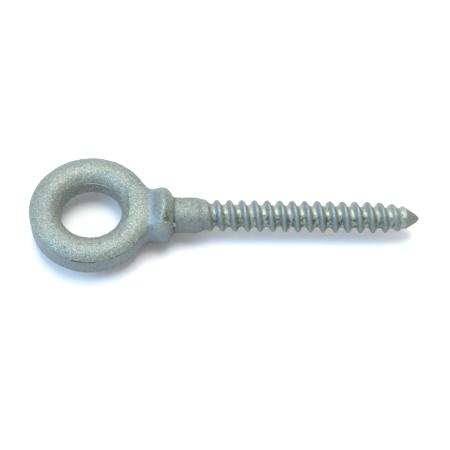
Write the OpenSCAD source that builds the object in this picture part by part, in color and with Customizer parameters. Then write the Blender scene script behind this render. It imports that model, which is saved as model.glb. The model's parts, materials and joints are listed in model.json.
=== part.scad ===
// Lag-thread eye bolt, shoulder pattern, drop forged in one piece and hot-dip galvanised.
// Millimetres. The bolt lies along +X with its point at +X, and the hole of the eye runs along Z.
// The origin is the centre of the shoulder's seating face, on the axis of the shank.
// Each node is one stretch of the single forging, and neighbours meet face to face.

/* [Eye] */
// Width of the hole through the eye
eye_hole_d = 12.1; // [11.9:0.1:13.2]
// Width of the eye across its outside
eye_outer_d = 24.1; // [22.4:0.1:25.6]
// Diameter of the ring's centre line
ring_mid_d = 18.9; // [18.8:0.1:19]
// Diameter of the round bar that the ring is forged from
ring_bar_d = 7; // [7:0.1:7.6]
// Distance from the seat of the shoulder to the centre of the hole
eye_reach = 16.4; // [16:0.1:18]

/* [Shoulder] */
// Largest diameter of the shoulder
shoulder_d = 11.1; // [10.6:0.1:12.5]
// Length of the shoulder along the bolt
shoulder_len = 3.4; // [3:0.1:4]
// Width of the flat seating ring around the shank
seat_w = 0.6; // [0.4:0.1:0.9]
// Length of the bevel behind the seating ring
seat_bevel = 1.3; // [0.8:0.1:1.8]

/* [Shank and point] */
// Diameter of the plain shank
shank_d = 7.2; // [6.6:0.1:7.6]
// Length of the plain shank
shank_len = 5; // [4:0.5:8]
// Length of the taper from the plain shank down to the thread's root
taper_len = 2.4; // [1.5:0.1:4]
// Distance from the seat to the tip of the point
reach = 49.8; // [40:0.1:80]
// Length of the conical point
point_len = 3.3; // [2.5:0.1:5]
// Diameter of the blunt tip
tip_d = 0.8; // [0.4:0.1:1.2]

/* [Lag thread] */
// Diameter over the crests of the thread
crest_d = 6.35; // [6:0.05:6.5]
// Diameter at the root of the thread
root_d = 4.6; // [4.2:0.1:5]
// Distance from one crest to the next
pitch = 2.54; // [2:0.01:3]
// Width of the ridge at its root
ridge_foot = 1.6; // [1.2:0.1:1.9]
// Width of the ridge at its crest
ridge_top = 0.45; // [0.3:0.05:0.8]
// Turns over which the ridge rises out of the root behind the shank
lead_in_turns = 0.4; // [0.2:0.1:1]
// Turns over which the ridge sinks away before the point
run_out_turns = 2.2; // [1:0.1:3]

/* [Hidden] */
$fn = 96;

zinc_matt = [0.66, 0.71, 0.69];
zinc_bright = [0.58, 0.64, 0.65];

ring_r = ring_mid_d / 2;
neck_r = shoulder_d / 2 - 0.2;
neck_web_t = 6.2;     // thickness of the web between the ring and the shoulder
neck_fillet_r = 2;    // concave corner where the ring's outline turns into the neck
fillet_bite = 0.05;   // how far that corner cuts past the ring's outline
neck_flare_len = 2;   // length over which the web flares out to the shoulder
root_r = shank_d / 2 + 0.1; // the shank's root at the seat, which the shoulder is forged around
core_r = root_r + 1;        // the root widens to this where the neck begins
crown_r = 8;          // gentle roundness along the shoulder's rim
crown_x = -0.56 * shoulder_len;
thread_start = shank_len + taper_len;
thread_end = reach - point_len;
crest_x = 0.84;       // place of a crest on the +Y side, counted in whole pitches from the seat
rows_per_pitch = 8;
columns = 24;

// Turns an outline of [radius, x] points about the bolt's axis.
module turned() {
    rotate([0, 90, 0]) rotate_extrude() children();
}

// Section of the ring beside its axis: round bar, sheared flat at the hole and round the outside.
module ring_section() {
    intersection() {
        translate([ring_r, 0]) circle(d = ring_bar_d);
        translate([eye_hole_d / 2, -ring_bar_d])
            square([(eye_outer_d - eye_hole_d) / 2, 2 * ring_bar_d]);
    }
}

// Outline of the neck's web seen along the hole, filleted into the ring on both sides.
module neck_outline() {
    fillet_y = neck_r + neck_fillet_r;
    fillet_reach = eye_outer_d / 2 + neck_fillet_r - fillet_bite;
    fillet_x = sqrt(pow(fillet_reach, 2) - pow(fillet_y, 2)) - eye_reach;
    touch_y = fillet_y * eye_outer_d / 2 / fillet_reach;
    difference() {
        translate([ring_r - eye_reach, -touch_y])
            square([eye_reach - ring_r - shoulder_len, 2 * touch_y]);
        for (side = [0, 1]) mirror([0, side]) {
            translate([fillet_x, fillet_y]) circle(r = neck_fillet_r);
            translate([fillet_x, neck_r]) square([eye_reach, fillet_y]);
        }
    }
}

module eye() {
    color(zinc_matt) difference() {
        union() {
            translate([-eye_reach, 0, 0])
                rotate_extrude() ring_section();
            linear_extrude(height = neck_web_t, center = true) neck_outline();
            translate([-shoulder_len - neck_flare_len, 0, 0])
                rotate([0, 90, 0]) cylinder(r1 = neck_web_t / 2, r2 = neck_r, h = neck_flare_len);
        }
        translate([-eye_reach, 0, 0]) cylinder(d = eye_hole_d, h = ring_bar_d + 2, center = true);
    }
}

module shoulder() {
    rim_r = shoulder_d / 2;
    seat_r = shank_d / 2 + seat_w;
    color(zinc_matt) turned() difference() {
        intersection() {
            polygon([[root_r, 0], [rim_r, 0], [rim_r, -shoulder_len], [core_r, -shoulder_len]]);
            translate([rim_r - crown_r, crown_x]) circle(r = crown_r);
        }
        polygon([[seat_r, 0], [rim_r + 1, 0], [rim_r + 1, -seat_bevel], [rim_r, -seat_bevel]]);
    }
}

module shank() {
    color(zinc_matt) rotate([0, 90, 0]) {
        translate([0, 0, -shoulder_len]) cylinder(r1 = core_r, r2 = root_r, h = shoulder_len);
        cylinder(d = shank_d, h = shank_len);
        translate([0, 0, shank_len]) cylinder(d1 = shank_d, d2 = root_d, h = taper_len);
    }
}

// How far a place on the thread lies from the middle of the nearest ridge, along the bolt.
function off_crest(x, angle) =
    let (turns = (x - crest_x) / pitch - angle / 360)
    pitch * abs(turns - round(turns));

// Height of the ridge as a share of its full height: flat crest, straight flanks, bare root.
function ridge(off) =
    max(0, min(1, (ridge_foot / 2 - off) / ((ridge_foot - ridge_top) / 2)));

// The ridge rises behind the shank and sinks away towards the point.
function ridge_share(x) =
    max(0, min(1, (x - thread_start) / (lead_in_turns * pitch), (thread_end - x) / (run_out_turns * pitch)));

function thread_radius(x, angle) =
    root_d / 2 + (crest_d - root_d) / 2 * ridge(off_crest(x, angle)) * ridge_share(x);

module lag_thread() {
    rows = round((thread_end - thread_start) / pitch * rows_per_pitch);
    skin = [
        for (row = [0:rows], column = [0:columns - 1])
            let (
                x = thread_start + (thread_end - thread_start) * row / rows,
                angle = 360 * column / columns,
                r = thread_radius(x, angle)
            )
            [x, r * cos(angle), r * sin(angle)]
    ];
    sides = [
        for (row = [0:rows - 1], column = [0:columns - 1])
            let (here = row * columns, next = (column + 1) % columns)
            [here + column, here + columns + column, here + columns + next, here + next]
    ];
    near_end = [for (column = [0:columns - 1]) column];
    far_end = [for (column = [columns - 1:-1:0]) rows * columns + column];
    color(zinc_bright) polyhedron(skin, concat([near_end, far_end], sides), convexity = 10);
}

module point() {
    tip_round = tip_d / 4;
    color(zinc_bright) translate([thread_end, 0, 0]) turned() polygon([
        [0, 0],
        [root_d / 2, 0],
        [tip_d / 2, point_len - tip_round],
        [tip_d / 2 - tip_round, point_len],
        [0, point_len]
    ]);
}

eye();
shoulder();
shank();
lag_thread();
point();
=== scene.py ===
# %% [markdown]
# # A forged and galvanised eye bolt
# The real part is one steel forging dipped in molten zinc: a ring, a neck that swells into a round
# shoulder, a plain shank and a lag thread with a cone point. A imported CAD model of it, split into five
# stretches, is the fixed frame. The looks are built around it here as two skins that overlap where
# the shank leaves the shoulder. Lengths are in millimetres until a mesh is made.

# %% Load the frame
import json
import math
import bpy
import numpy as np
from mathutils import Matrix, Vector, noise


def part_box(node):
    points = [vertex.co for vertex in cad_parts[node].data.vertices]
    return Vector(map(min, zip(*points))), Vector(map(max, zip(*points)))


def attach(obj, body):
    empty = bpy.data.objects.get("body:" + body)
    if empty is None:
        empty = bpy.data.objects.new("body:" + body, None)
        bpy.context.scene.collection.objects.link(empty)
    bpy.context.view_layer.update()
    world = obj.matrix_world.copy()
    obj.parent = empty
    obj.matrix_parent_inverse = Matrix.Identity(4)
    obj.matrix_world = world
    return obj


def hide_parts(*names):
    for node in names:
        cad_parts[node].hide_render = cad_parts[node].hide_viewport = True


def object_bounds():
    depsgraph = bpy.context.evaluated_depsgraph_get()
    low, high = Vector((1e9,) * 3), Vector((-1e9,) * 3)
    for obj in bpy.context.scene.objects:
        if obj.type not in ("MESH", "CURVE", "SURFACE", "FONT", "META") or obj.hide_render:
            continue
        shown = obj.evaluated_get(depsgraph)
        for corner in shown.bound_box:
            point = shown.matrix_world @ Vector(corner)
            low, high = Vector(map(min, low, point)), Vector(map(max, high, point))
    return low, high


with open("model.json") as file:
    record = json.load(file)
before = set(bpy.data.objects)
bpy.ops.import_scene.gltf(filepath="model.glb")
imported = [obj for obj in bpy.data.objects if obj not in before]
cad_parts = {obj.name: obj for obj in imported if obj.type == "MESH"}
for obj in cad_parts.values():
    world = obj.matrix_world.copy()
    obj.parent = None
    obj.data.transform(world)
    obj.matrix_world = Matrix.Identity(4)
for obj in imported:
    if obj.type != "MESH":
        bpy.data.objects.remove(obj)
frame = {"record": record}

MM = 0.001
cad_box = [[float(v) for v in corner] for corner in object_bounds()]
mounts = {mount["name"]: mount for mount in frame["record"]["mounts"]}
print("CAD box in mm:", [[round(v / MM, 2) for v in corner] for corner in cad_box])

# %% [markdown]
# ## Sizes from the frame
# Each place is read from the frame, so the skins can't drift from the solids. The ring's centre and
# hole come from the mount called eye_hole, and the shank's radius from shank. The rest comes from the
# nodes' boxes. Two sizes of the ring are stated here. The eye's box takes in the neck, which is
# thicker than the bar, and the sheared band, which is cut into it, so neither can be read from it.

# %% Read the sizes
RING_BAR_R = 3.5
RING_MID_R = 9.45

hole_x = mounts["eye_hole"]["pos_m"][0] / MM
hole_r = mounts["eye_hole"]["dims"]["r_mm"]
shank_r = mounts["shank"]["dims"]["r_mm"]
eye_low, eye_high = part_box("eye")
outer_r = (eye_high.y - eye_low.y) / 2 / MM
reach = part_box("point")[1].x / MM
print("hole", hole_x, hole_r, "ring", RING_MID_R, RING_BAR_R, outer_r, "reach", reach)

# %% [markdown]
# ## The camera
# The bolt lies on a table and is seen from above the front, a little from the eye's side. The lens is
# a long one, so the thread keeps nearly the same width along its length. The camera is rolled a few
# degrees, which brings the bolt nearly level across the view. Its axes are computed one by one, since a
# rolled camera is easier to state as three vectors than as three angles.

# %% Make the camera
CAMERA_ELEVATION = math.radians(58.63)
CAMERA_TURN = math.radians(5.5)
CAMERA_ROLL = math.radians(5.26)
CAMERA_DISTANCE = 220
LENS_MM = 87.42
AIM_SHIFT = (-0.1, -1.89)

to_camera = Vector((-math.cos(CAMERA_ELEVATION) * math.sin(CAMERA_TURN),
                    -math.cos(CAMERA_ELEVATION) * math.cos(CAMERA_TURN), math.sin(CAMERA_ELEVATION)))
level_right = (-to_camera).cross(Vector((0, 0, 1))).normalized()
level_up = level_right.cross(-to_camera)
right = math.cos(CAMERA_ROLL) * level_right + math.sin(CAMERA_ROLL) * level_up
up = math.cos(CAMERA_ROLL) * level_up - math.sin(CAMERA_ROLL) * level_right
middle = (Vector(cad_box[0]) + Vector(cad_box[1])) / 2 / MM
aim = middle + AIM_SHIFT[0] * level_right + AIM_SHIFT[1] * level_up
turn = Matrix((right, up, to_camera)).transposed().to_4x4()
camera = bpy.data.objects.new("camera", bpy.data.cameras.new("camera"))
camera.data.lens = LENS_MM
camera.data.sensor_width = 36
camera.data.clip_start = 0.01
camera.matrix_world = Matrix.Translation((aim + CAMERA_DISTANCE * to_camera) * MM) @ turn
bpy.context.collection.objects.link(camera)
bpy.context.scene.camera = camera
print("camera at", [round(v / MM, 1) for v in camera.matrix_world.translation])

# %% [markdown]
# ## Drawing with distances
# A forging has no sharp inside corners: the metal flows from the ring into the neck. Box modelling
# that joint by hand leaves pinches, and a boolean leaves a hard seam. A distance field gives the flow
# for nothing: each shape is a function that says how far a point lies outside it, and a rounded
# minimum of two functions is their blend. The three helpers below are the whole tool.

# %% Blend helpers
def blend_union(a, b, width):
    share = np.clip(0.5 + 0.5 * (b - a) / width, 0, 1)
    return b + (a - b) * share - width * share * (1 - share)


def blend_cut(a, b, width):
    return -blend_union(-a, -b, width)


def ease(value, start, end):
    t = np.clip((value - start) / (end - start), 0, 1)
    return t * t * (3 - 2 * t)


# %% [markdown]
# ## The ring
# The ring is a bent round bar. After forging, the thin flash that squeezes out between the dies is
# sheared off, which leaves a smooth flat band round the outside and a short straight wall in the
# hole. The shear sat slightly off the ring's centre. The upper half of the bar overhangs the band a
# little at the front, where the shear ran deep, and a thin lip of flash is left inside the hole at the
# back.

# %% Ring field
BAND_TOP = 2.05
OVERHANG = 0.32
GROOVE = 0.22
SHEAR_OFF = (-0.17, 0.10)
LIP_HEIGHT = 1.5
LIP_R = 0.14
FRONT_ARC = (-76, 42, 14)   # degrees: middle, half its span, and the softness of its ends
BACK_ARC = (85, 28, 12)


def window(angle, centre, half, soft):
    away = np.abs((angle - centre + 180) % 360 - 180)
    return 1 - ease(away, half - soft, half + soft)


def ring_field(x, y, z):
    around = np.degrees(np.arctan2(y, x - hole_x))
    out = np.hypot(x - hole_x, y)
    bar = np.hypot(out - RING_MID_R, z) - RING_BAR_R
    ledge = ease(z, BAND_TOP - 0.05, BAND_TOP + 0.05)
    undercut = ease(z, BAND_TOP - 0.7, BAND_TOP - 0.1) * (1 - ledge)
    step = (OVERHANG * ledge - GROOVE * undercut) * window(around, *FRONT_ARC)
    shear = np.hypot(x - hole_x - SHEAR_OFF[0], y - SHEAR_OFF[1])
    bar = blend_cut(bar, shear - (outer_r - 0.04 + step), 0.08)
    bar = blend_cut(bar, hole_r - out, 0.35)
    lip = np.hypot(out - hole_r - 0.22, (z - LIP_HEIGHT) * 1.3) - LIP_R * window(around, *BACK_ARC)
    return blend_union(bar, lip, 0.12)


# %% [markdown]
# ## The neck and shoulder
# Seen along the bolt, the neck starts as a flat web in the plane of the ring and swells into the
# round shoulder. So its section is a squarish oval whose half height grows with x while its half
# width stays put. The outline of the shoulder itself is a short list of points, x against radius,
# smoothed the way a worn die would round it. A drip of zinc has set in the corner in front of the
# shoulder: a small ball, blended in like the rest.

# %% Neck field
SHOULDER_OUTLINE = [(-9, 5.0), (-5.6, 5.4), (-4.4, 5.44), (-3.5, 5.47), (-2.9, 5.58), (-2.3, 5.63),
                    (-1.8, 5.58), (-1.4, 5.42), (-1.0, 5.13), (-0.4, 4.38), (-0.1, 3.9), (0.15, 3.5),
                    (0.5, 2.6), (0.9, 0.2)]
OUTLINE_SMOOTHING = 0.1
NECK_HALF_HEIGHT = 3.3

outline_x = np.arange(-9, 1.2, 0.02)
outline_raw = np.interp(outline_x, *zip(*SHOULDER_OUTLINE))
kernel = np.exp(-0.5 * (np.arange(-25, 26) * 0.02 / OUTLINE_SMOOTHING) ** 2)
outline_r = np.convolve(np.pad(outline_raw, 25, mode="edge"), kernel / kernel.sum(), mode="valid")


def neck_field(x, y, z):
    half_width = np.interp(x, outline_x, outline_r)
    swell = ease(x, -5.0, -1.7)
    half_height = NECK_HALF_HEIGHT + (half_width - NECK_HALF_HEIGHT) * swell
    power = 2.6 - 0.6 * swell
    across = np.hypot(y, z) + 1e-6
    oval = (np.abs(y / half_width) ** power + np.abs(z / half_height) ** power) ** (1 / power) + 1e-6
    side = (across - across / oval) * 0.8
    ends = np.maximum(-8.5 - x, x - 0.9)
    return np.maximum(side, ends)


DRIP = (0.2, -3.33, 1.75)
DRIP_R = 0.48
FLOW_WIDTH = 1.5      # how widely the metal flows from the ring into the neck


def eye_field(x, y, z):
    body = blend_union(ring_field(x, y, z), neck_field(x, y, z), FLOW_WIDTH)
    body = np.maximum(body, hole_r - np.hypot(x - hole_x, y))
    drip = np.sqrt((x - DRIP[0]) ** 2 + (y - DRIP[1]) ** 2 + (z - DRIP[2]) ** 2) - DRIP_R
    return blend_union(body, drip, 0.2)


# %% [markdown]
# ## From field to mesh
# The field is sampled on a grid of small cubes. Each cube that the surface crosses gets one vertex,
# placed at the mean of the crossings on its edges, and each crossed grid edge gets a four-sided face
# between the four cubes around it. This gives an even, closed skin of quads. A few steps down the
# field's slope then put every vertex exactly on the surface.

# %% Skin helper
def skin_of(field, low, high, cell):
    axes = [np.arange(a, b + cell, cell) for a, b in zip(low, high)]
    values = field(*np.meshgrid(*axes, indexing="ij"))
    inside = values < 0
    nx, ny, nz = inside.shape
    count = sum(inside[i:nx - 1 + i, j:ny - 1 + j, k:nz - 1 + k].astype(np.int8)
                for i in (0, 1) for j in (0, 1) for k in (0, 1))
    cubes = np.argwhere((count > 0) & (count < 8))
    number = np.full(count.shape, -1)
    number[tuple(cubes.T)] = np.arange(len(cubes))
    total, hits = np.zeros((len(cubes), 3)), np.zeros((len(cubes), 1))
    faces = []
    for axis in range(3):
        b, c = (axis + 1) % 3, (axis + 2) % 3
        step = np.eye(3, dtype=int)[axis]
        for corner in np.ndindex(2, 2):
            start = cubes.copy()
            start[:, b] += corner[0]
            start[:, c] += corner[1]
            here, there = values[tuple(start.T)], values[tuple((start + step).T)]
            crossed = (here < 0) != (there < 0)
            share = np.where(crossed, here / np.where(crossed, here - there, 1), 0)
            total += np.where(crossed[:, None], start + share[:, None] * step, 0)
            hits += crossed[:, None]
        first = [slice(None)] * 3
        second = [slice(None)] * 3
        first[axis], second[axis] = slice(0, -1), slice(1, None)
        edges = np.argwhere(inside[tuple(first)] != inside[tuple(second)])
        outward = inside[tuple(edges.T)]
        around = []
        for db, dc in ((-1, -1), (0, -1), (0, 0), (-1, 0)):
            cube = edges.copy()
            cube[:, b] += db
            cube[:, c] += dc
            around.append(number[tuple(cube.T)])
        quads = np.stack(around, axis=1)
        faces.append(np.where(outward[:, None], quads, quads[:, ::-1]))
    points = np.array(low) + total / hits * cell
    for _ in range(3):
        slope = slope_of(field, points)
        points -= field(*points.T)[:, None] * slope / (slope ** 2).sum(axis=1, keepdims=True)
    return points, np.concatenate(faces)


def slope_of(field, points, h=0.01):
    return np.stack([(field(*(points + h * step).T) - field(*(points - h * step).T)) / (2 * h)
                     for step in np.eye(3)], axis=1)


# %% Skin the forging
CELL = 0.175
eye_points, eye_faces = skin_of(eye_field, (-29, -12.7, -6.2), (1.5, 12.7, 6.2), CELL)
eye_normals = slope_of(eye_field, eye_points)
eye_normals /= np.linalg.norm(eye_normals, axis=1, keepdims=True)
print("forged eye:", len(eye_points), "points,", 2 * len(eye_faces), "triangles")

# %% [markdown]
# ## Lumps, scale marks and zinc
# A drop forging isn't smooth: scale on the hot steel leaves shallow pits, the dies wear, and the zinc
# gathers in corners. The bigger lumps are true geometry, so the outline shows them as well. Three sizes
# of smooth noise push each vertex along its normal, less on the sheared band, which a blade left
# flat. The finest grain is left to the material.

# %% Push the skin about
LUMPS = ((0.05, 3.1, 1), (0.03, 1.1, 2), (0.035, 0.45, 3))   # height and size in mm, and the seed


def rough(points, size, seed):
    shift = Vector((seed * 13.7, seed * 5.1, seed * 9.3))
    return np.array([noise.noise(Vector(p) / size + shift) for p in points.tolist()])


band = np.hypot(eye_points[:, 0] - hole_x, eye_points[:, 1])
under_ledge = 1 - ease(eye_points[:, 2], BAND_TOP - 0.2, BAND_TOP)
smooth_band = ease(band, outer_r - 0.35, outer_r - 0.1) * under_ledge
lumps = sum(height * rough(eye_points, size, seed) for height, size, seed in LUMPS)
lumps *= 1 - 0.65 * smooth_band
eye_points = eye_points + eye_normals * lumps[:, None]
print("lumps reach", round(float(lumps.min()), 3), "to", round(float(lumps.max()), 3), "mm")


# %% [markdown]
# The corners are darkened with painted shade. How deep a place sits is easy to ask a distance field:
# take a short step straight out of the surface and see how much nearer to metal it is than that step.
# The answer is stored on each vertex as an attribute called hollow, which the material reads to paint
# the shade. The crease under the overhang is too narrow for that step, so its painted shade is added
# by its height, and ragged noise breaks it up.

# %% Measure the hollows
HOLLOW_STEP = 0.55
CREASE_DEPTH = 0.58   # how far the crease lies below the top of the band
CREASE_HALF = 0.24


def forging_field(x, y, z):
    shank = np.maximum(np.hypot(y, z) - shank_r, -2 - x)
    return np.minimum(eye_field(x, y, z), shank)


# hollow: how deep each point sits, which the forged zinc turns into painted shade
stepped = forging_field(*(eye_points + eye_normals * HOLLOW_STEP).T)
eye_hollow = np.clip(1 - stepped / HOLLOW_STEP, 0, 1)
around = np.degrees(np.arctan2(eye_points[:, 1], eye_points[:, 0] - hole_x))
# painted shade in the crease under the overhang, placed by its height
above_crease = eye_points[:, 2] - BAND_TOP + CREASE_DEPTH
crease = np.exp(-(above_crease / CREASE_HALF) ** 2) * window(around, *FRONT_ARC)
ragged = 0.55 + 0.9 * rough(eye_points, 1.3, 4)
eye_hollow = np.clip(eye_hollow + ragged * crease * (band > outer_r - 0.6), 0, 1)
print("share of the skin that lies in a hollow:", round(float((eye_hollow > 0.3).mean()), 3))


# %% Mesh helper
def mesh_piece(name, points, faces, material):
    mesh = bpy.data.meshes.new(name)
    mesh.from_pydata((points * MM).tolist(), [], faces.tolist())
    mesh.polygons.foreach_set("use_smooth", [True] * len(mesh.polygons))
    mesh.materials.append(material)
    mesh.update()
    piece = bpy.data.objects.new(name, mesh)
    bpy.context.collection.objects.link(piece)
    return piece


# %% [markdown]
# ## Node helpers
# Materials and Geometry Nodes are both trees, so one helper adds a node, sets its options, and fills
# its sockets either with a value or with a link.

# %% Node helpers
def add_node(tree, kind, inputs=None, **options):
    node = tree.nodes.new(kind)
    for key, value in options.items():
        setattr(node, key, value)
    for key, value in (inputs or {}).items():
        socket = node.inputs[key]
        if isinstance(value, bpy.types.NodeSocket):
            tree.links.new(value, socket)
        else:
            socket.default_value = value
    return node


def math_node(tree, operation, *values):
    return add_node(tree, "ShaderNodeMath", dict(enumerate(values)), operation=operation).outputs[0]


def map_node(tree, value, from_min, from_max, to_min=0.0, to_max=1.0):
    limits = {"Value": value, "From Min": from_min, "From Max": from_max,
              "To Min": to_min, "To Max": to_max}
    return add_node(tree, "ShaderNodeMapRange", limits).outputs[0]


def noise_node(tree, where, feature_mm, detail=2.0, roughness=0.5):
    return add_node(tree, "ShaderNodeTexNoise", {"Vector": where, "Scale": 1 / (feature_mm * MM),
                    "Detail": detail, "Roughness": roughness}).outputs[0]


def mix_colour(tree, share, a, b):
    node = add_node(tree, "ShaderNodeMix", data_type="RGBA")
    for socket, value in ((node.inputs[0], share), (node.inputs[6], a), (node.inputs[7], b)):
        if isinstance(value, bpy.types.NodeSocket):
            tree.links.new(value, socket)
        else:
            socket.default_value = value
    return node.outputs[2]


def spot_node(tree, where, place_mm, radius_mm):
    ends = {0: where, 1: [v * MM for v in place_mm]}
    away = add_node(tree, "ShaderNodeVectorMath", ends, operation="DISTANCE")
    return map_node(tree, away.outputs["Value"], radius_mm * MM, 0.4 * radius_mm * MM)


# %% [markdown]
# ## Galvanised zinc on a forging
# Zinc from a hot dip dries to a matt, slightly green grey. Its crystals are tiny on a small part, so
# the surface reads as sand: the bright grains are painted glints in the base colour, and the pits
# between are darkened with painted shade. The colour drifts over a few millimetres as the coat gets
# thicker or thinner. The neck is painted bluer as a painted blue reflection, and the sheared band
# darker and bluer as painted shade and blue reflection. A blotch of dross darkens the shoulder, and the
# corners are darkened with painted shade, except on the drip. All of it is noise in Object
# coordinates, so the grain keeps its true size.

# %% Forged zinc
# colour of the painted shade in corners and creases
CREVICE_SHADE = (0.055, 0.06, 0.05, 1)
# dark colour of the real dross on the shoulder, also painted as a dark reflection in the thread's roots
DROSS_AND_SHADE_COLOUR = (0.06, 0.07, 0.05, 1)
GRAIN_MM = 0.27
GLINT_MM = 0.23
DROSS_SPOT = (-1.0, -3.1, 4.5), 1.5     # place and radius in mm
# where the drip is kept free of the painted shade
UNSHADED_SPOT = (0.35, -3.45, 1.85), 0.75


def new_material(name):
    material = bpy.data.materials.new(name)
    material.use_nodes = True
    tree = material.node_tree
    return material, tree, tree.nodes["Principled BSDF"]


zinc_forged, tree, shader = new_material("zinc_forged")
where = add_node(tree, "ShaderNodeTexCoord").outputs["Object"]
drift = noise_node(tree, where, 4.0, 3)
grain = noise_node(tree, where, GRAIN_MM, 2, 0.6)
glint = noise_node(tree, where, GLINT_MM, 1)
pits = noise_node(tree, where, 0.75, 3, 0.6)
sheared = add_node(tree, "ShaderNodeAttribute", attribute_name="sheared").outputs["Fac"]
colour = mix_colour(tree, map_node(tree, drift, 0.35, 0.65),
                    (0.151, 0.177, 0.167, 1), (0.180, 0.200, 0.174, 1))
# painted glints: bright grains in the base colour
colour = mix_colour(tree, map_node(tree, glint, 0.48, 0.7, 0, 0.7), colour, (0.385, 0.44, 0.36, 1))
along_bolt = add_node(tree, "ShaderNodeSeparateXYZ", {0: where}).outputs[0]
# painted blue reflection on the neck
neck_blue_reflection = math_node(tree, "MULTIPLY", map_node(tree, along_bolt, -6.2 * MM, -4.6 * MM),
                   map_node(tree, along_bolt, -2.5 * MM, -3.4 * MM, 0, 0.5))
colour = mix_colour(tree, neck_blue_reflection, colour, (0.165, 0.22, 0.25, 1))
# painted shade and blue reflection on the sheared band
colour = mix_colour(tree, math_node(tree, "MULTIPLY", sheared, 0.6), colour,
                    (0.155, 0.20, 0.222, 1))
# painted shade in the dips of the pitted bump
colour = mix_colour(tree, map_node(tree, pits, 0.42, 0.28, 0, 0.75), colour,
                    (0.10, 0.10, 0.075, 1))
hollow = add_node(tree, "ShaderNodeAttribute", attribute_name="hollow").outputs["Fac"]
dross_and_shade = math_node(tree, "MULTIPLY", spot_node(tree, where, *DROSS_SPOT),
                  map_node(tree, pits, 0.55, 0.42, 0, 0.9))
colour = mix_colour(tree, dross_and_shade, colour, DROSS_AND_SHADE_COLOUR)
# painted shade in the corners and crease, read from the hollow attribute and left off the drip
painted_corner_shade = map_node(tree, math_node(tree, "MULTIPLY_ADD", grain, 0.5, hollow), 0.45, 0.95, 0, 0.85)
drip_unshaded = math_node(tree, "SUBTRACT", 1.0, spot_node(tree, where, *UNSHADED_SPOT))
painted_corner_shade = math_node(tree, "MULTIPLY", painted_corner_shade, drip_unshaded)
colour = mix_colour(tree, painted_corner_shade, colour, CREVICE_SHADE)
tree.links.new(colour, shader.inputs["Base Color"])
tree.links.new(map_node(tree, grain, 0.3, 0.7, 0.42, 0.62), shader.inputs["Roughness"])
shader.inputs["Metallic"].default_value = 0.4
shader.inputs["Specular IOR Level"].default_value = 0.3
coarse = add_node(tree, "ShaderNodeBump", {"Height": pits, "Distance": 0.08 * MM, "Strength": 0.8})
fine = add_node(tree, "ShaderNodeBump", {"Height": grain, "Distance": 0.07 * MM,
                "Normal": coarse.outputs[0], "Strength": map_node(tree, sheared, 0, 1, 1, 0.4)})
tree.links.new(fine.outputs[0], shader.inputs["Normal"])
print("zinc_forged has", len(tree.nodes), "nodes")

# %% [markdown]
# ## Galvanised zinc on the thread
# Rolling leaves the thread smoother than the forging, and the zinc runs into the roots, which stay a
# little glossier. The crests are rubbed and stay matt. The threaded stretch is painted bluer as a
# painted sky reflection, and the roots brighter as a painted highlight. The side towards -y is painted
# a darker, bluer grey as painted shade, with dark flecks in its roots as a painted dark reflection, the
# crease at the shoulder gets painted shade, and the cut point is duller. Distance from the bolt's axis
# tells a root from a crest, and x tells the plain shank, which is the roughest stretch, from the thread.

# %% Thread zinc
zinc_thread, tree, shader = new_material("zinc_thread")
where = add_node(tree, "ShaderNodeTexCoord").outputs["Object"]
parts = add_node(tree, "ShaderNodeSeparateXYZ", {0: where})
squares = [math_node(tree, "POWER", parts.outputs[axis], 2.0) for axis in (1, 2)]
from_axis = math_node(tree, "SQRT", math_node(tree, "ADD", *squares))
threaded = map_node(tree, parts.outputs[0], 6.6 * MM, 8.6 * MM)
root = math_node(tree, "MULTIPLY", threaded, map_node(tree, from_axis, 2.95 * MM, 2.45 * MM))
drift = noise_node(tree, where, 3.0, 3)
grain = noise_node(tree, where, GRAIN_MM, 2, 0.6)
glint = noise_node(tree, where, GLINT_MM, 1)
pits = noise_node(tree, where, 0.8, 3, 0.6)
facing = math_node(tree, "DIVIDE", math_node(tree, "MULTIPLY", parts.outputs[1], -1.0), from_axis)
# painted shade: a darker, bluer grey on the side towards -y
front_side_shade = map_node(tree, math_node(tree, "MULTIPLY_ADD", grain, 0.4, facing), 0.72, 0.95)
colour = mix_colour(tree, map_node(tree, drift, 0.35, 0.65),
                    (0.166, 0.190, 0.178, 1), (0.198, 0.217, 0.187, 1))
# painted glints: bright grains in the base colour
colour = mix_colour(tree, map_node(tree, glint, 0.48, 0.7, 0, 0.7), colour, (0.40, 0.435, 0.355, 1))
colour = mix_colour(tree, math_node(tree, "MULTIPLY", front_side_shade, 0.45), colour,
                    (0.125, 0.152, 0.165, 1))
# painted sky reflection: the threaded stretch bluer
colour = mix_colour(tree, math_node(tree, "MULTIPLY", threaded, 0.6), colour, (0.19, 0.23, 0.238, 1))
# painted highlight: the roots brighter
colour = mix_colour(tree, math_node(tree, "MULTIPLY", root, 0.85), colour, (0.29, 0.325, 0.275, 1))
# painted shade in the dips of the pitted bump
colour = mix_colour(tree, map_node(tree, pits, 0.42, 0.28, 0, 0.75), colour, (0.09, 0.10, 0.07, 1))
# painted dark reflection: dark flecks in the roots on the side towards -y
dross_and_shade = math_node(tree, "MULTIPLY", map_node(tree, pits, 0.54, 0.44, 0, 0.8), root)
dross_and_shade = math_node(tree, "MULTIPLY", dross_and_shade, map_node(tree, facing, 0.35, 0.6, 0.15, 1.0))
dross_and_shade = math_node(tree, "MULTIPLY", dross_and_shade,
                  map_node(tree, parts.outputs[0], 47.5 * MM, 45.5 * MM, 0.35, 1.0))
colour = mix_colour(tree, dross_and_shade, colour, DROSS_AND_SHADE_COLOUR)
cut_point = map_node(tree, parts.outputs[0], 46.6 * MM, 47.4 * MM, 0, 0.75)
colour = mix_colour(tree, cut_point, colour, (0.155, 0.172, 0.15, 1))
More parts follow.
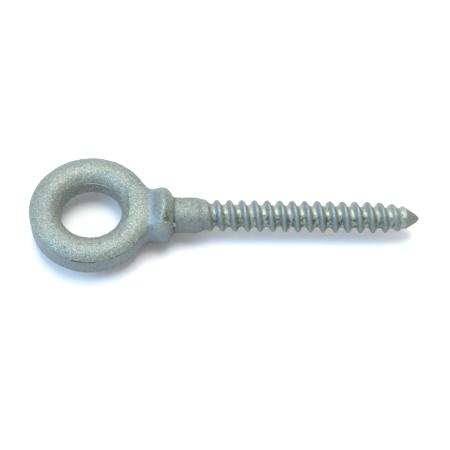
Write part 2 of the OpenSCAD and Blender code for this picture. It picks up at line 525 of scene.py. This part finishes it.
# painted shade in the crease where the shank meets the shoulder
ragged_x = math_node(tree, "MULTIPLY_ADD", grain, -0.9 * MM, parts.outputs[0])
seat_crease_shade = map_node(tree, ragged_x, 0.1 * MM, -0.5 * MM)
colour = mix_colour(tree, seat_crease_shade, colour, CREVICE_SHADE)
tree.links.new(colour, shader.inputs["Base Color"])
matt = map_node(tree, grain, 0.3, 0.7, 0.42, 0.6)
matt = math_node(tree, "MULTIPLY_ADD", math_node(tree, "SUBTRACT", 1.0, threaded), 0.16, matt)
matt = math_node(tree, "SUBTRACT", matt, math_node(tree, "MULTIPLY", root, 0.05))
tree.links.new(matt, shader.inputs["Roughness"])
shader.inputs["Metallic"].default_value = 0.55
shader.inputs["Specular IOR Level"].default_value = 0.3
coarse = add_node(tree, "ShaderNodeBump", {"Height": pits, "Distance": 0.07 * MM, "Strength": 1.0})
fine = add_node(tree, "ShaderNodeBump", {"Height": grain, "Distance": 0.07 * MM,
                "Normal": coarse.outputs[0], "Strength": map_node(tree, root, 0, 1, 1, 0.35)})
tree.links.new(fine.outputs[0], shader.inputs["Normal"])
print("zinc_thread has", len(tree.nodes), "nodes")

# %% [markdown]
# ## The forged skin as a mesh
# The points and faces found above become a Blender mesh, and the two measures taken on the forging go
# on it as vertex attributes, under the names that the forged zinc reads.

# %% Make the forged eye
forged_eye = mesh_piece("forged_eye", eye_points, eye_faces, zinc_forged)
forged_eye.data.attributes.new("hollow", "FLOAT", "POINT").data.foreach_set("value", eye_hollow)
forged_eye.data.attributes.new("sheared", "FLOAT", "POINT").data.foreach_set("value", smooth_band)
print("forged eye has the attributes hollow and sheared")

# %% [markdown]
# ## The shank and thread
# A lag thread follows one rule: wherever you are on the screw, the ridge is high if your place along
# the bolt, less your angle around it, is a whole number of pitches. So Geometry Nodes make it: a flat
# grid is rolled into a tube, the rule gives each point its radius, and doubles along the seam and at
# both ends are merged. Two curves hold the body's and the crests' outlines from end to end.

# %% Screw outlines
SCREW_START = -1.5
PITCH = 2.54
CREST_X = 0.84
BODY_OUTLINE = [(-1.5, 3.6), (4.8, 3.6), (5.5, 3.33), (6.1, 3.06), (6.8, 2.74), (7.4, 2.48), (8.2, 2.26),
                (25, 2.2), (43, 2.15), (49.8, 2.15)]
CREST_OUTLINE = [(-1.5, 3.6), (4.8, 3.6), (5.5, 3.38), (6.3, 3.24), (7.0, 3.16), (8.2, 3.22),
                 (41.5, 3.17), (44.2, 2.9), (46.6, 2.5), (48, 2.2), (49.8, 2.15)]
CURVE_TOP = 5.0       # the radius that the top of an outline curve stands for
DROOP_START = 20.0


def outline_curve(tree, along, outline):
    node = add_node(tree, "ShaderNodeFloatCurve", {"Value": along})
    curve = node.mapping.curves[0]
    places = [((x - SCREW_START) / (reach - SCREW_START), r / CURVE_TOP) for x, r in outline]
    curve.points[0].location, curve.points[-1].location = places[0], places[-1]
    for place in places[1:-1]:
        curve.points.new(*place)
    for point in curve.points:
        point.handle_type = "VECTOR"
    node.mapping.update()
    return math_node(tree, "MULTIPLY", node.outputs[0], CURVE_TOP)


# %% Screw tree
INPUTS = {"Start": SCREW_START, "Reach": reach, "Pitch": PITCH, "Crest X": CREST_X,
          "Ridge Width": 2.0, "Crest Rounding": 1.6, "Tip Radius": 0.4, "Tip Slope": 0.59,
          "Lump Size": 0.9, "Lump Height": 0.07, "Grain Height": 0.05, "Tip Droop": 0.25}
tree = bpy.data.node_groups.new("lag_screw", "GeometryNodeTree")
for name in INPUTS:
    tree.interface.new_socket(name=name, in_out="INPUT", socket_type="NodeSocketFloat")
for name in ("Rows", "Columns"):
    tree.interface.new_socket(name=name, in_out="INPUT", socket_type="NodeSocketInt")
tree.interface.new_socket(name="Material", in_out="INPUT", socket_type="NodeSocketMaterial")
tree.interface.new_socket(name="Geometry", in_out="OUTPUT", socket_type="NodeSocketGeometry")
given = add_node(tree, "NodeGroupInput").outputs
grid = add_node(tree, "GeometryNodeMeshGrid", {"Size X": 1.0, "Size Y": 1.0, "Vertices X": given["Rows"],
                "Vertices Y": given["Columns"]})
position = add_node(tree, "GeometryNodeInputPosition").outputs[0]
flat = add_node(tree, "ShaderNodeSeparateXYZ", {0: position})
along = math_node(tree, "ADD", flat.outputs[0], 0.5)
turns = math_node(tree, "ADD", flat.outputs[1], 0.5)
length = math_node(tree, "SUBTRACT", given["Reach"], given["Start"])
x = math_node(tree, "MULTIPLY_ADD", along, length, given["Start"])

body = outline_curve(tree, along, BODY_OUTLINE)
crest = outline_curve(tree, along, CREST_OUTLINE)
past_crest = math_node(tree, "SUBTRACT", x, given["Crest X"])
helix = math_node(tree, "SUBTRACT", math_node(tree, "DIVIDE", past_crest, given["Pitch"]), turns)
wave = math_node(tree, "COSINE", math_node(tree, "MULTIPLY", helix, 2 * math.pi))
wave = math_node(tree, "MULTIPLY_ADD", wave, 0.5, 0.5)
ridge = math_node(tree, "SUBTRACT", 1.0, math_node(tree, "POWER", wave, given["Ridge Width"]))
ridge = math_node(tree, "SUBTRACT", 1.0, math_node(tree, "POWER", ridge, given["Crest Rounding"]))
threaded_r = math_node(tree, "MULTIPLY_ADD", math_node(tree, "SUBTRACT", crest, body), ridge, body)
to_tip = math_node(tree, "MAXIMUM", math_node(tree, "SUBTRACT", given["Reach"], x), 0.0)
slope_sq = math_node(tree, "POWER", given["Tip Slope"], 2.0)
nose = math_node(tree, "MULTIPLY_ADD", to_tip, slope_sq,
                 math_node(tree, "MULTIPLY", given["Tip Radius"], 2.0))
nose = math_node(tree, "SQRT", math_node(tree, "MULTIPLY", to_tip, nose))
radius = math_node(tree, "MINIMUM", threaded_r, nose)
print("screw rule so far:", len(tree.nodes), "nodes")

# %% [markdown]
# The same tree then roughens the screw. The noise is read at each point's place in space, not on the
# flat grid, so it meets itself at the seam. The height is multiplied by nought on the first row,
# which closes the hidden end inside the shoulder.

# %% Screw surface
angle = math_node(tree, "MULTIPLY", turns, 2 * math.pi)
cosine, sine = math_node(tree, "COSINE", angle), math_node(tree, "SINE", angle)


def around_axis(r, droop=0.0):
    y = math_node(tree, "SUBTRACT", math_node(tree, "MULTIPLY", r, cosine), droop)
    z = math_node(tree, "MULTIPLY", r, sine)
    return add_node(tree, "ShaderNodeCombineXYZ", {0: x, 1: y, 2: z}).outputs[0]


def noise_height(size, detail, height):
    value = add_node(tree, "ShaderNodeTexNoise", {"Vector": around_axis(radius), "Detail": detail,
                     "Scale": math_node(tree, "DIVIDE", 1.0, size)}).outputs[0]
    centred = math_node(tree, "SUBTRACT", value, 0.5)
    return math_node(tree, "MULTIPLY", centred, math_node(tree, "MULTIPLY", height, 2.0))


lumps = noise_height(given["Lump Size"], 1.0, given["Lump Height"])
grains = noise_height(math_node(tree, "MULTIPLY", given["Lump Size"], 0.4), 1.0, given["Grain Height"])
rough_share = math_node(tree, "MINIMUM", math_node(tree, "MULTIPLY", to_tip, 1.5), 1.0)
lumps = math_node(tree, "MULTIPLY", math_node(tree, "ADD", lumps, grains), rough_share)
open_end = math_node(tree, "GREATER_THAN", along, 0.0001)
final_r = math_node(tree, "MULTIPLY", math_node(tree, "ADD", radius, lumps), open_end)
droop = math_node(tree, "MULTIPLY", given["Tip Droop"], math_node(tree, "POWER",
                  map_node(tree, x, DROOP_START, reach), 2.0))
place = add_node(tree, "ShaderNodeVectorMath", {0: around_axis(final_r, droop), 1: (MM, MM, MM)},
                 operation="MULTIPLY").outputs[0]
moved = add_node(tree, "GeometryNodeSetPosition", {"Geometry": grid.outputs[0], "Position": place})
outward = add_node(tree, "GeometryNodeFlipFaces", {0: moved.outputs[0]})
closed = add_node(tree, "GeometryNodeMergeByDistance",
                  {"Geometry": outward.outputs[0], "Distance": 0.001 * MM})
smooth = add_node(tree, "GeometryNodeSetShadeSmooth", {"Geometry": closed.outputs[0]})
real = add_node(tree, "GeometryNodeRealizeInstances", {"Geometry": smooth.outputs[0]})
coated = add_node(tree, "GeometryNodeSetMaterial",
                  {"Geometry": real.outputs[0], "Material": given["Material"]})
add_node(tree, "NodeGroupOutput", {"Geometry": coated.outputs[0]})
print("screw tree:", len(tree.nodes), "nodes")

# %% Make the screw
ROWS = 420
COLUMNS = 121

lag_screw = bpy.data.objects.new("lag_screw", bpy.data.meshes.new("lag_screw_seed"))
bpy.context.collection.objects.link(lag_screw)
modifier = lag_screw.modifiers.new("screw", "NODES")
modifier.node_group = tree
settings = dict(INPUTS, Rows=ROWS, Columns=COLUMNS, Material=zinc_thread)
for socket in tree.interface.items_tree:
    if socket.in_out == "INPUT":
        modifier[socket.identifier] = settings[socket.name]
result = lag_screw.evaluated_get(bpy.context.evaluated_depsgraph_get())
screw_mesh = bpy.data.meshes.new_from_object(result)
lag_screw.modifiers.remove(modifier)
lag_screw.data = screw_mesh
screw_mesh.name = "lag_screw"
triangles = sum(len(polygon.vertices) - 2 for polygon in screw_mesh.polygons)
print("lag screw:", len(screw_mesh.vertices), "points,", triangles, "triangles")

# %% [markdown]
# ## Riding the frame
# The bolt has one rigid body, so both skins ride on the root. The eye's skin stands for the ring and
# shoulder of the CAD model, and the screw's skin for the shank, thread and point.

# %% Tie the skins to the frame
for piece, nodes, slot in ((forged_eye, ("eye", "shoulder"), "zinc_forged"),
                           (lag_screw, ("shank", "lag_thread", "point"), "zinc_thread")):
    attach(piece, "root")
    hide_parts(*nodes)

# %% [markdown]
# ## Table and light
# The bolt lies on a white table in a pale bluish room. The main lamp hangs almost straight above it, and
# a broad, weaker one behind it makes the shadow fall towards the viewer. Both are wide for their
# distance, so the shadow's edge is soft. A pale blue lamp at the left tints the faces that turn that
# way.

# %% Table
TABLE_HALF = 2.0
TABLE_GAP = 0.1 * MM
table_z = cad_box[0][2] - TABLE_GAP
table_mesh = bpy.data.meshes.new("table")
table_mesh.from_pydata([(sx * TABLE_HALF, sy * TABLE_HALF, table_z) for sx, sy in
                        ((-1, -1), (1, -1), (1, 1), (-1, 1))], [], [(0, 1, 2, 3)])
table = bpy.data.objects.new("table", table_mesh)
bpy.context.collection.objects.link(table)
white, tree, shader = new_material("white_table")
shader.inputs["Base Color"].default_value = (0.74, 0.74, 0.74, 1)
shader.inputs["Roughness"].default_value = 0.9
shader.inputs["Specular IOR Level"].default_value = 0.1
table_mesh.materials.append(white)


# %% Lights
LAMP_AIM = Vector((0.01, 0, 0))
WARM_WHITE = (1.0, 0.98, 0.95)
ROOM_COLOUR = (0.94, 0.965, 1.0, 1)
ROOM_STRENGTH = 0.78


def soft_lamp(name, place, size, power, colour):
    lamp = bpy.data.objects.new(name, bpy.data.lights.new(name, "AREA"))
    lamp.data.shape = "DISK"
    lamp.data.size, lamp.data.energy, lamp.data.color = size, power, colour
    lamp.location = place
    lamp.rotation_euler = (LAMP_AIM - Vector(place)).to_track_quat("-Z", "Y").to_euler()
    bpy.context.collection.objects.link(lamp)


soft_lamp("window_lamp", (0.01, 0.05, 0.44), 0.25, 1.95, WARM_WHITE)
soft_lamp("back_lamp", (0.0, 0.36, 0.34), 0.50, 0.8, WARM_WHITE)
soft_lamp("blue_fill", (-0.34, -0.10, 0.32), 0.25, 1.8, (0.34, 0.64, 1.0))
world = bpy.data.worlds.new("room")
bpy.context.scene.world = world
world.use_nodes = True
sky = world.node_tree.nodes["Background"]
sky.inputs["Color"].default_value = ROOM_COLOUR
sky.inputs["Strength"].default_value = ROOM_STRENGTH
bpy.context.scene.view_settings.view_transform = "Standard"
print("lights are on")
